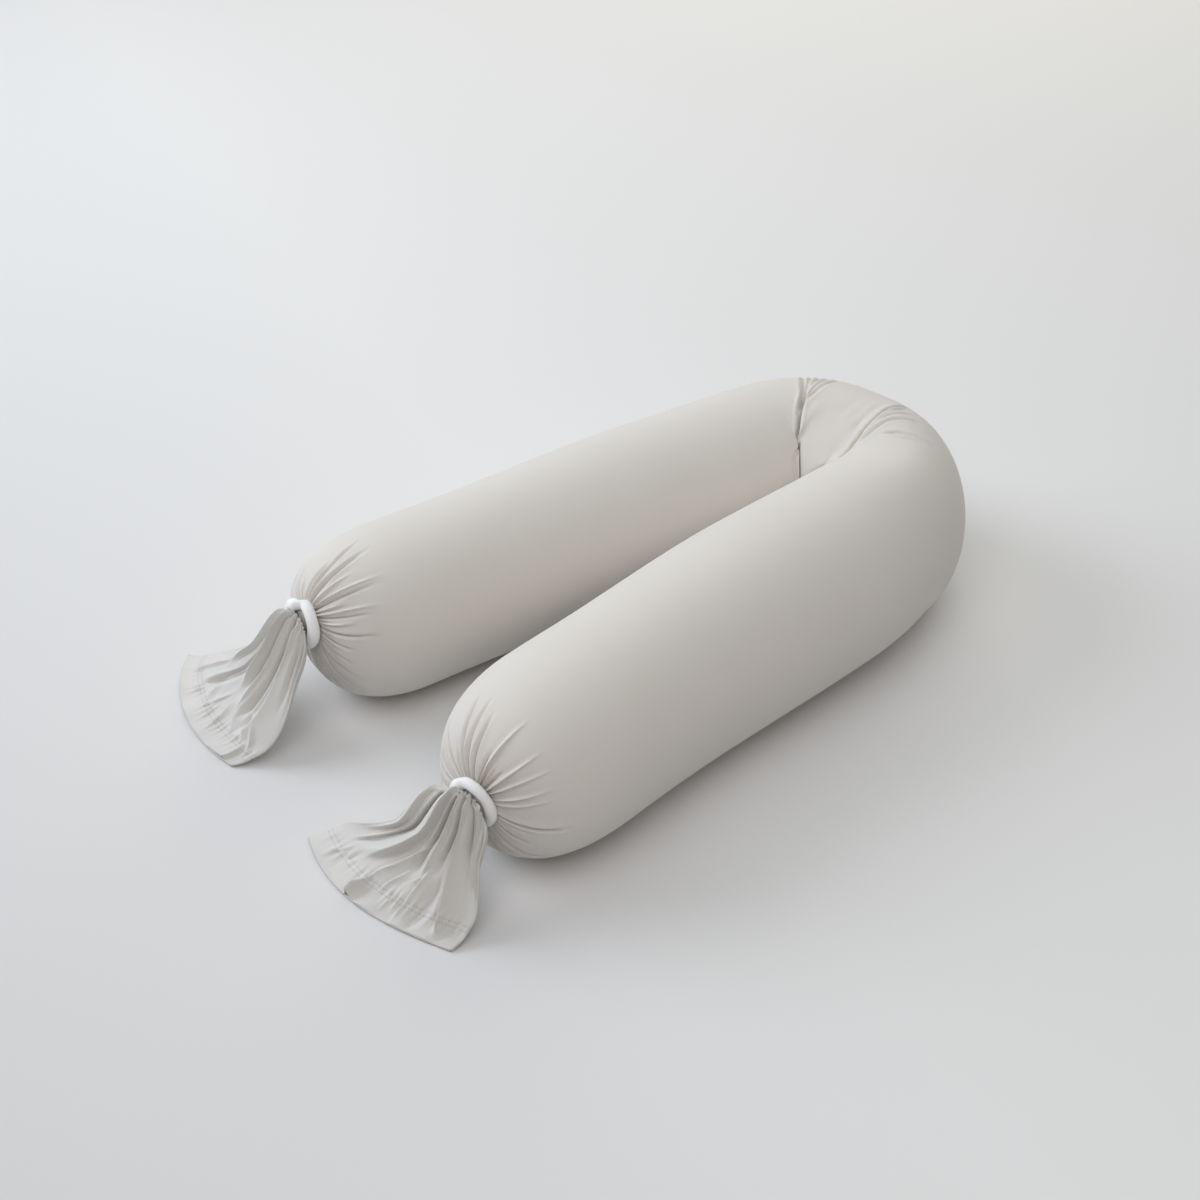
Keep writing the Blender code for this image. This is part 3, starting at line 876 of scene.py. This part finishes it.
NEAR_FOLDS = fold_table(
    (60, 110, 1, (0, -72), (10, -80), (26, -84), (45, -88)),
    (-95, 75, -1, (0, -42), (10, -54), (21, -62), (35, -66), (48, -70), (64, -76)),
    (95, 150, 1, (0, -24), (10, -32), (21, -35), (35, -40), (50, -46), (66, -54)),
    (-90, 55, 0, (0, -10), (10, -13), (21, -13), (35, -11), (46, -7), (56, -2)),
    (50, 75, -1, (34, -12), (50, -22), (64, -31), (84, -35), (102, -36)),
    (90, 100, 0, (0, 1), (10, 3), (21, 5), (34, 6.5), (46, 9), (58, 11)),
    (-26, 22, 0, (0, 3), (10, 5), (25, 6.5), (38, 8), (50, 10)),
    (-70, 55, 0, (0, 11), (10, 17), (21, 22), (34, 22), (48, 21)),
    (100, 110, -1, (0, 23), (10, 34), (20, 41), (34, 45), (50, 50), (66, 57), (80, 64), (92, 70)),
    (-60, 60, 1, (0, 44), (10, 58), (20, 67), (34, 74)),
    (80, 80, -1, (0, 60), (10, 76), (20, 85), (34, 90), (52, 94)),
    (56, 80, -1, (48, 16), (62, 15), (82, 16), (100, 20)),
    (-50, 90, 0, (50, 34), (62, 36), (76, 38), (100, 40)),
    (85, 45, -1, (78, -35), (92, -35.5), (124, -36)),
    (34, 40, -1, (55, -8), (70, -16), (86, -18)),
    (42, 28, 0, (52, 14), (57, 8), (62, 2)),
    (-30, 20, 0, (56, 17), (61, 10), (66, 6)),
    (24, 30, 1, (74, -6), (82, -2), (94, 0)),
    (22, 28, 0, (72, 4), (80, 7), (92, 9)),
    (26, 40, 1, (70, -72), (82, -78), (95, -80)),
    (-22, 40, 0, (66, -60), (80, -66), (94, -68)),
)
print(len(FAR_FOLDS) + len(NEAR_FOLDS), "folds")

# %% Shape the tails and their folds
SIDES = (0.60, 0.26, 1.05)      # widths of an even, a steep and a slack side of a fold, in spreads
FOLD_FADES = (-0.06, 0.10, -0.20, 0.04)     # it rises round its first point, and falls before its last
FOLD_FALL = 1.35                # how fast a fold falls off to its sides
CREST = 0.10                    # how round its crest is
FOLD_RIM = Rim(0.22, 2.2, 0.9)


def tail_points(half, angle, share):
    """Points of a flared tail, before its folds."""
    tail = TAILS[half]
    x, y, heading = (float(value) for value in route_at(half * ROUTE_LENGTH))
    heading += (1 - half) * pi
    outward = np.array([cos(heading), sin(heading), 0.0])
    sideways = np.array([-sin(heading), cos(heading), 0.0])
    across, layer = np.cos(angle), np.sin(angle)
    inside = np.clip(share, 0.0, 1.0)
    reach = tail.reach + tail.reach_skew * across + tail.reach_bow * across * across
    turn = np.radians(tail.swing + tail.spread * across) * ease(inside, *FAN_OUT)
    run = NECK_LENGTH * (1.0 - inside) + reach * share
    belly = (tail.belly + tail.belly_skew * across) * np.sin(pi * inside)
    points = np.array([x, y, 0.0]) + run[..., None] * (
        outward * np.cos(turn)[..., None] + sideways * np.sin(turn)[..., None]
    )
    points += sideways * (across * (NECK_RADIUS * (1.0 - inside) + belly))[..., None]

    fall = 1.0 - (1.0 - inside) ** STEEPNESS
    half_height = NECK_RADIUS + (tail.mouth / 2.0 - NECK_RADIUS) * fall
    middle = NECK_HEIGHTS[half] + (tail.mouth / 2.0 - NECK_HEIGHTS[half]) * fall
    blunt = np.sign(layer) * np.abs(layer) ** BLUNT_POWER
    points[..., 2] = middle + half_height * (layer + (blunt - layer) * fall)

    # just past the band the bunched cloth swells out again
    swell = tail.blouse[0] + tail.blouse[1] * ease(-across, *BLOUSE_SIDE)
    swell = swell * between(share, *BLOUSE_RUNS)
    points += sideways * (across * swell)[..., None]
    points[..., 2] += layer * swell
    return points


def fold_lift(across, share, folds):
    """How far the long folds raise the upper layer."""
    lift = np.zeros(across.shape)
    for fold in folds:
        off = (across - np.interp(share, *zip(*fold.path))) / fold.spread
        side = np.sign(off * fold.lean).astype(int)     # 0 for an even fold, 1 steep, -1 slack
        off = np.abs(off) / np.array(SIDES)[side]
        first, last = fold.path[0][0], fold.path[-1][0]
        ends = between(share, *np.add([first, first, last, last], FOLD_FADES))
        round_off = np.sqrt(off * off + CREST * CREST) - CREST
        lift += fold.height * ends * (np.exp(-FOLD_FALL * round_off) - rim_height(off, FOLD_RIM))
    return lift


print("a fold is steep over", SIDES[1], "of its spread and slack over", SIDES[2])

# %% [markdown]
# ## The lower layer and the hem
#
# The lower layer is pleated near the band too.  Along the hem the stitching puckers the cloth, each row
# of stitches sinks in a little, and the edge waves.  All of this is small, so it is added to the
# height of the cloth as plain waves.

# %% Make the tails
STITCH_ROWS = (0.0205, 0.0250)  # from the edge of the hem
STITCH_DENT = (0.00045, 0.0013)     # how deep and how wide a row of stitches sinks
PUCKER = (0.00055, 0.009)       # how high the puckers are, and how wide the strip with them
PUCKER_WAVES = ((1.0, 61.0), (0.6, 97.0))       # heights, and turns for one step across the tail
PUCKER_DRIFT = (2.2, 17.0)      # a slower wave draws the first ones apart
PUCKER_START = 1.0              # of the second ones
EDGE_HEIGHT = 0.0011
EDGE_WAVES = ((1.0, 9.0), (0.7, 16.0))
EDGE_STARTS = (2.0, 1.7)        # the first one only starts there on the near tail
EDGE_RUN = (0.6, 1.0)           # shares of the length over which the edge comes to wave
LAYER_EDGE = 0.35               # this far up the section the upper layer has its full folds
UNDER_PLEATS = 21
UNDER_DRIFT = 1.1               # they are drawn apart by this much, twice round
UNDER_RUN = (0.10, 0.55)        # shares of the length over which they die out
UNDER_HEIGHT = 0.0062
UNDER_MEAN = 0.64               # taken off, so that the pleats sink as much as they rise
UPPER_SHARE = 0.30              # of the height of the pleats that the upper layer has
EVEN_SHARE = 0.4                # the columns stand partly evenly by angle, partly evenly across the tail
TAIL_FLOOR = 0.0011             # the lowest that the outside of the cloth lies
tail_pieces = []
tail_grids = []
for half, (name, folds) in enumerate((("tail_far", FAR_FOLDS), ("tail_near", NEAR_FOLDS))):
    turn_share = np.linspace(0.0, 1.0, TAIL_COLUMNS + 1)
    flat_angle = np.arccos(1.0 - 4.0 * np.minimum(turn_share, 1.0 - turn_share))
    flat_angle = np.where(turn_share < 0.5, flat_angle, FULL_TURN - flat_angle)
    tail_angle, tail_share = np.meshgrid(
        EVEN_SHARE * FULL_TURN * turn_share + (1.0 - EVEN_SHARE) * flat_angle,
        np.linspace(TAIL_START, 1.0, TAIL_ROWS + 1),
    )
    base = tail_points(half, tail_angle, tail_share)
    across, upper = np.cos(tail_angle), ease(np.sin(tail_angle), 0.0, LAYER_EDGE)
    lengths = run_along(base)
    from_hem = lengths[-1:] - lengths

    lift = fold_lift(across, tail_share, folds) * upper
    under = np.abs(np.sin(0.5 * UNDER_PLEATS * tail_angle + UNDER_DRIFT * np.sin(2.0 * tail_angle)))
    under_share = (1.0 - ease(tail_share, *UNDER_RUN)) * (UPPER_SHARE + (1.0 - UPPER_SHARE) * (1.0 - upper))
    lift += UNDER_HEIGHT * (under - UNDER_MEAN) * under_share
    drift = PUCKER_DRIFT[0] * np.sin(across * PUCKER_DRIFT[1])
    pucker = waves(across, (*PUCKER_WAVES[0], drift), (*PUCKER_WAVES[1], PUCKER_START))
    lift += PUCKER[0] * pucker * np.exp(-((from_hem - sum(STITCH_ROWS) / 2.0) / PUCKER[1]) ** 2)
    for depth in STITCH_ROWS:
        lift -= STITCH_DENT[0] * np.exp(-((from_hem - depth) / STITCH_DENT[1]) ** 2)
    edge = waves(across, (*EDGE_WAVES[0], half * EDGE_STARTS[0]), (*EDGE_WAVES[1], EDGE_STARTS[1]))
    lift += EDGE_HEIGHT * edge * upper * ease(tail_share, *EDGE_RUN)

    points = base + outward_of(base) * lift[..., None]
    points[..., 2] = np.maximum(points[..., 2], TAIL_FLOOR)
    points[:, -1] = points[:, 0]
    girth = float(run_along(points[-1])[-1])
    shortest, mean, longest = (float(size(lengths[-1])) for size in (np.min, np.mean, np.max))
    runs = np.linspace(0.0, mean, TAIL_ROWS + 1)
    widths = np.repeat(girth * turn_share[None], TAIL_ROWS + 1, axis=0)
    tail_pieces.append(sleeve(name, points, widths, runs))
    tail_grids.append((points, from_hem))
    print(name, "is", round(shortest, 3), "to", round(longest, 3), "m long, mean", round(mean, 3),
          "and its hem measures", round(girth, 3), "m round")

# %% [markdown]
# ## Thickness and hem
#
# Jersey is about a millimetre thick.  At the hem it is turned in, so it is twice as thick there.  A
# Solidify modifier gives the sleeve its thickness, inwards, and a vertex group makes it double at the hem.

# %% Thicken the tails
HEM_CLOTH = 0.0018
HEM_SHARE = 0.14                # of the rows
LOWEST = 0.0001                 # no cloth sinks into the table
hem_start = TAIL_ROWS - round(TAIL_ROWS * HEM_SHARE)
for piece in tail_pieces:
    row = read_numbers(piece, "row")
    hem = piece.vertex_groups.new(name="hem")
    for weight, chosen in ((0.5, row < hem_start), (1.0, row >= hem_start)):
        hem.add([int(number) for number in np.flatnonzero(chosen)], weight, "REPLACE")
    only(piece)
    thickness = piece.modifiers.new("thickness", "SOLIDIFY")
    thickness.thickness = HEM_CLOTH
    thickness.offset = -1.0
    thickness.vertex_group = "hem"
    bpy.ops.object.modifier_apply(modifier=thickness.name)
    places = read_points(piece)
    places[:, 2] = np.maximum(places[:, 2], LOWEST)
    write_points(piece, places)
    print(piece.name, "now has", len(piece.data.polygons), "faces")

# %% [markdown]
# ## Stitches
#
# Two rows of stitches hold the hem.  One stitch is a small flattened bead of thread.  It is modelled once
# and copied along both rows, each copy laid on the cloth, and the copies of a tail are joined.

# %% Sew the hems
STITCH_PITCH = 0.0034
STITCH_SIZE = (0.0023, 0.0007, 0.0005)      # long, wide and high
STITCH_CLEAR = 0.0006           # a stitch this close to the table is left out
STITCH_AHEAD = 0.001            # a stitch points at the spot this far on along its row


def line_at(depth, values, from_hem):
    """The values of a tail's grid at this depth from the hem, one for each column."""
    return np.array([
        [np.interp(depth, past[::-1], part[::-1]) for part in column]
        for past, column in zip(from_hem.T, values.transpose(1, 2, 0))
    ])


bpy.ops.object.select_all(action="DESELECT")
bpy.ops.mesh.primitive_uv_sphere_add(segments=8, ring_count=4, radius=0.5)
bead = bpy.context.object
bead.scale = STITCH_SIZE
bpy.ops.object.transform_apply(location=False, rotation=False, scale=True)
bpy.ops.object.shade_smooth()
stitch_pieces = []
for name, (points, from_hem) in zip(("stitches_far", "stitches_near"), tail_grids):
    normals = outward_of(points)
    copies = []
    for depth in STITCH_ROWS:
        line, facing = line_at(depth, points, from_hem), line_at(depth, normals, from_hem)
        run = run_along(line)
        spots = np.arange(STITCH_PITCH / 2.0, run[-1] - STITCH_PITCH / 4.0, STITCH_PITCH)
        for spot in spots:
            place, ahead, up = (
                Vector([float(np.interp(at, run, part)) for part in value.T])
                for at, value in ((spot, line), (spot + STITCH_AHEAD, line), (spot, facing))
            )
            if place.z + up.normalized().z * STITCH_SIZE[2] < STITCH_CLEAR:
                continue
            along = (ahead - place).normalized()
            side = up.cross(along).normalized()
            copy = bead.copy()
            copy.data = bead.data.copy()
            bpy.context.scene.collection.objects.link(copy)
            turned = Matrix((along, side, along.cross(side))).transposed()
            copy.matrix_world = Matrix.Translation(place) @ turned.to_4x4()
            copies.append(copy)
    bpy.ops.object.select_all(action="DESELECT")
    for copy in copies:
        copy.select_set(True)
    bpy.context.view_layer.objects.active = copies[0]
    bpy.ops.object.join()
    piece = bpy.context.object
    piece.name = name
    bpy.ops.object.transform_apply(location=True, rotation=True, scale=True)
    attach(piece, "root")
    stitch_pieces.append(piece)
    print(name, "has", len(copies), "stitches")
bpy.data.objects.remove(bead)

# %% [markdown]
# ## Bands
#
# Each band is a soft round cord whose two ends pass each other and are stuck together.  It starts as a
# torus round the neck.  Then each point moves along the axis by how far round it is, like one turn of a
# spring, and that leaves the small step where the ends pass.  It is also pressed a little out of round,
# because a soft band that holds bunched cloth is never a true circle.

# %% Make the bands
Band = namedtuple("Band", "node half turn tilt radius thickness squeeze squeeze_at step step_at")
BANDS = (
    Band("band_far", 0, -8.0, 0.0, 0.0208, 0.0120, 0.04, 0.6, 0.0085, 1.45),
    Band("band_near", 1, 0.0, 9.0, 0.0194, 0.0106, 0.05, 2.2, 0.0030, 1.9),
)
STEP_SOFT = 0.35                # radians over which the step rises
UNEVEN = ((0.05, 2.0, 1.0), (0.03, 5.0, 0.0))   # waves of a band's thickness round the ring
RING_SEGMENTS, CORD_SEGMENTS = 128, 32
band_pieces = []
for band in BANDS:
    low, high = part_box(band.node)
    middle = (low + high) / 2.0
    heading = float(route_at(band.half * ROUTE_LENGTH)[2]) + (1 - band.half) * pi + radians(band.turn)
    pitch = radians(-band.tilt)
    axis = Vector((cos(heading) * cos(pitch), sin(heading) * cos(pitch), sin(pitch)))
    bpy.ops.object.select_all(action="DESELECT")
    bpy.ops.mesh.primitive_torus_add(
        major_radius=band.radius,
        minor_radius=band.thickness / 2.0,
        major_segments=RING_SEGMENTS,
        minor_segments=CORD_SEGMENTS,
        rotation=axis.to_track_quat("Z", "Y").to_euler(),
        location=middle,
    )
    piece = bpy.context.object
    piece.name = "ring_" + band.node.split("_")[1]
    bpy.ops.object.transform_apply(location=False, rotation=False, scale=True)
    local = read_points(piece)
    around = np.arctan2(local[:, 1], local[:, 0])
    ring = np.stack([np.cos(around), np.sin(around), np.zeros_like(around)], axis=1) * band.radius
    swell = 1.0 + waves(around, *UNEVEN)
    local = ring + (local - ring) * swell[:, None]
    local[:, :2] *= (1.0 + band.squeeze * np.cos(2.0 * (around - band.squeeze_at)))[:, None]
    past_step = np.mod(around - band.step_at, FULL_TURN)
    rise = ease(past_step, 0.0, STEP_SOFT) - past_step / FULL_TURN
    local[:, 2] += band.step * (rise - 0.5 + STEP_SOFT / (4.0 * pi))
    write_points(piece, local)
    bpy.ops.object.transform_apply(location=True, rotation=True, scale=True)
    bpy.ops.object.shade_smooth()
    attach(piece, "root")
    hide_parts(band.node)
    band_pieces.append(piece)
    print(piece.name, "ring round", [round(value, 3) for value in middle])

# %% [markdown]
# ## Shader sums
#
# Materials are written as plain sums.  `Socket` wraps an output, and adding or multiplying sockets adds
# the Math nodes that do it.  Every other node comes from `Finish.node`.

# %% Helpers for materials


class Socket:
    """An output of a node, so that shader maths can be written as a sum."""

    def __init__(self, finish, output):
        self.finish = finish
        self.output = output

    def maths(self, operation, *values):
        """A Math node on this socket and the other values."""
        sockets = dict(enumerate((self, *values)))
        return self.finish.node("ShaderNodeMath", {"operation": operation}, sockets)

    def __add__(self, other):
        return self.maths("ADD", other)

    def __mul__(self, other):
        return self.maths("MULTIPLY", other)

    __radd__ = __add__
    __rmul__ = __mul__


class Finish:
    """A material under construction."""

    def __init__(self, name):
        self.material = bpy.data.materials.new(name)
        self.material.use_nodes = True
        self.tree = self.material.node_tree
        self.shader = self.tree.nodes["Principled BSDF"]

    def node(self, kind, settings=None, sockets=None, output=0):
        """Add a node, set it up, and return one of its outputs."""
        made = self.tree.nodes.new(kind)
        for key, value in (settings or {}).items():
            setattr(made, key, value)
        for key, value in (sockets or {}).items():
            self.feed(made.inputs[key], value)
        return Socket(self, made.outputs[output])

    def feed(self, socket, value):
        """Link a Socket, or set a plain value."""
        if isinstance(value, Socket):
            self.tree.links.new(value.output, socket)
        else:
            socket.default_value = value

    def noise(self, scale, detail):
        """Noise of this scale over the object."""
        place = self.node("ShaderNodeTexCoord", output="Object")
        return self.node("ShaderNodeTexNoise", {}, {"Vector": place, "Scale": scale, "Detail": detail})

    def blend(self, share, first, second):
        """A colour between two colours, each given as red, green and blue."""
        mix = self.node("ShaderNodeMix", {"data_type": "RGBA"}, {"Factor": share}).output.node
        colours = [socket for socket in mix.inputs if socket.type == "RGBA"]
        for socket, colour in zip(colours, (first, second)):
            self.feed(socket, (*colour, 1.0))
        return Socket(self, [socket for socket in mix.outputs if socket.type == "RGBA"][0])

    def bump(self, height, distance):
        """A normal from a height, whose full range stands for this distance in metres."""
        return self.node("ShaderNodeBump", {}, {"Height": height, "Distance": distance, "Strength": 1.0})

    def set(self, **values):
        """Feed sockets of the shader, named with _ for each space."""
        for key, value in values.items():
            self.feed(self.shader.inputs[key.replace("_", " ")], value)


# %% [markdown]
# ## Jersey
#
# Jersey is a fine knit.  Close up it shows upright columns of small loops, and from a distance only a
# matt cloth with a soft sheen.  The loops are two crossed waves in the UV map, which holds metres of
# flat cloth, so that they keep their size on every piece.  A slow noise makes the colour a little uneven,
# and a very fine one is the fuzz of the yarn.

# %% Knit the jersey
WALE = 0.0009                   # between two columns of loops
COURSE = 0.0007                 # between two rows of loops
FILLED_JERSEY = ((0.690, 0.658, 0.612), (0.735, 0.702, 0.654))     # its dark and its light places
EMPTY_JERSEY = ((0.635, 0.620, 0.590), (0.695, 0.680, 0.650))
CLOUDS, FUZZ = (14.0, 3.0), (900.0, 2.0)        # scale and detail of the two noises
COURSE_LEAN = 0.9               # the rows of loops go up and down with the columns, as in a knit
KNIT_DEPTH = 0.00006


def jersey(name, dark, light):
    """Knitted cloth, for pieces with a UV map in metres."""
    finish = Finish(name)
    cloth = finish.node("ShaderNodeUVMap", {"uv_map": "cloth"})
    across = finish.node("ShaderNodeSeparateXYZ", {}, {0: cloth})
    along = Socket(finish, across.output.node.outputs[1])
    wale = (across * (FULL_TURN / WALE)).maths("SINE")
    course = (along * (FULL_TURN / COURSE) + wale * COURSE_LEAN).maths("SINE")
    clouds, fuzz = finish.noise(*CLOUDS), finish.noise(*FUZZ)
    finish.set(
        Base_Color=finish.blend(clouds * 0.7 + fuzz * 0.3 + wale * 0.04, dark, light),
        Roughness=0.78,
        Sheen_Weight=0.22,
        Sheen_Roughness=0.4,
        Specular_IOR_Level=0.3,
        Normal=finish.bump(wale * 0.35 + course * 0.25 + fuzz * 0.5, KNIT_DEPTH),
    )
    return finish.material


filled_jersey, empty_jersey = jersey("filled_jersey", *FILLED_JERSEY), jersey("empty_jersey", *EMPTY_JERSEY)
print("a loop is", round(WALE * 1000.0, 2), "by", round(COURSE * 1000.0, 2), "mm")

# %% [markdown]
# ## Bands, thread and table
#
# The bands are soft and almost pure white, and light goes a little way into them, so they get some
# subsurface scattering.  The thread is grey, and a fine noise stands for its twisted strands.  The table is
# plain and matt.  Its colour is darkened a little towards the near left, as painted shade where the lamps
# light it less, and a dot product gives that without a mask.

# %% Finish the bands, the thread and the table
BAND_WHITE = ((0.92, 0.92, 0.92), (0.97, 0.97, 0.97))
THREAD_GREY = ((0.40, 0.39, 0.37), (0.56, 0.55, 0.52))
# the table's own pale colour, and the dark end of the painted shade laid over it
TABLE_PAINT_AND_SHADE = ((0.80, 0.80, 0.80), (0.16, 0.16, 0.165))
SPECKLE, HAZE, TWIST = (1200.0, 2.0), (60.0, 2.0), (2500.0, 1.0)    # scales and details of noises
SPECKLE_DEPTH, TWIST_DEPTH = 0.00008, 0.00005
turn = radians(CAMERA_TURN)
VIEW_RIGHT = Vector((cos(turn), sin(turn), 0.0))
VIEW_BACK = Vector((-sin(turn), cos(turn), 0.0))
# painted shade: the table's colour darkens along this direction, in place of the lamps' falloff
PAINTED_SHADE_SLOPE = -0.25 * VIEW_RIGHT - 0.12 * VIEW_BACK     # how fast the table darkens, in shares a metre

white = Finish("band_white")
speckle, haze = white.noise(*SPECKLE), white.noise(*HAZE)
white.set(
    Base_Color=white.blend(haze * 0.6 + speckle * 0.4, *BAND_WHITE),
    Roughness=0.6,
    Sheen_Weight=0.2,
    Subsurface_Weight=0.7,
    Subsurface_Radius=(1.0, 1.0, 1.0),
    Subsurface_Scale=0.010,
    Normal=white.bump(speckle, SPECKLE_DEPTH),
)

thread = Finish("grey_thread")
twist = thread.noise(*TWIST)
thread.set(Base_Color=thread.blend(twist, *THREAD_GREY), Roughness=0.6, Normal=thread.bump(twist, TWIST_DEPTH))

table_paint_and_shade = Finish("table_paint_and_shade")
place = table_paint_and_shade.node("ShaderNodeTexCoord", output="Object")
sideways = table_paint_and_shade.node(
    "ShaderNodeVectorMath", {"operation": "DOT_PRODUCT"}, {0: place, 1: PAINTED_SHADE_SLOPE}, output="Value"
)
# painted shade on the table, growing towards the near left where the lamps light it less
painted_shade = sideways.maths("MAXIMUM", 0.0)
table_paint_and_shade.set(Base_Color=table_paint_and_shade.blend(painted_shade, *TABLE_PAINT_AND_SHADE), Roughness=0.9)

for pieces, material in (
    ([pillow_body], filled_jersey),
    (tail_pieces, empty_jersey),
    (stitch_pieces, thread.material),
    (band_pieces, white.material),
    ([table_top], table_paint_and_shade.material),
):
    for piece in pieces:
        piece.data.materials.append(material)
print(len(bpy.data.materials), "materials")

# %% [markdown]
# ## Fasten the pieces to the frame
#
# Everything rides on the one body of the pillow, and the cover solid of the frame is hidden.

for piece in [pillow_body, *tail_pieces]:
    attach(piece, "root")
    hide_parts("cover")
Cut = namedtuple("Cut", "width length area")

low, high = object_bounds()
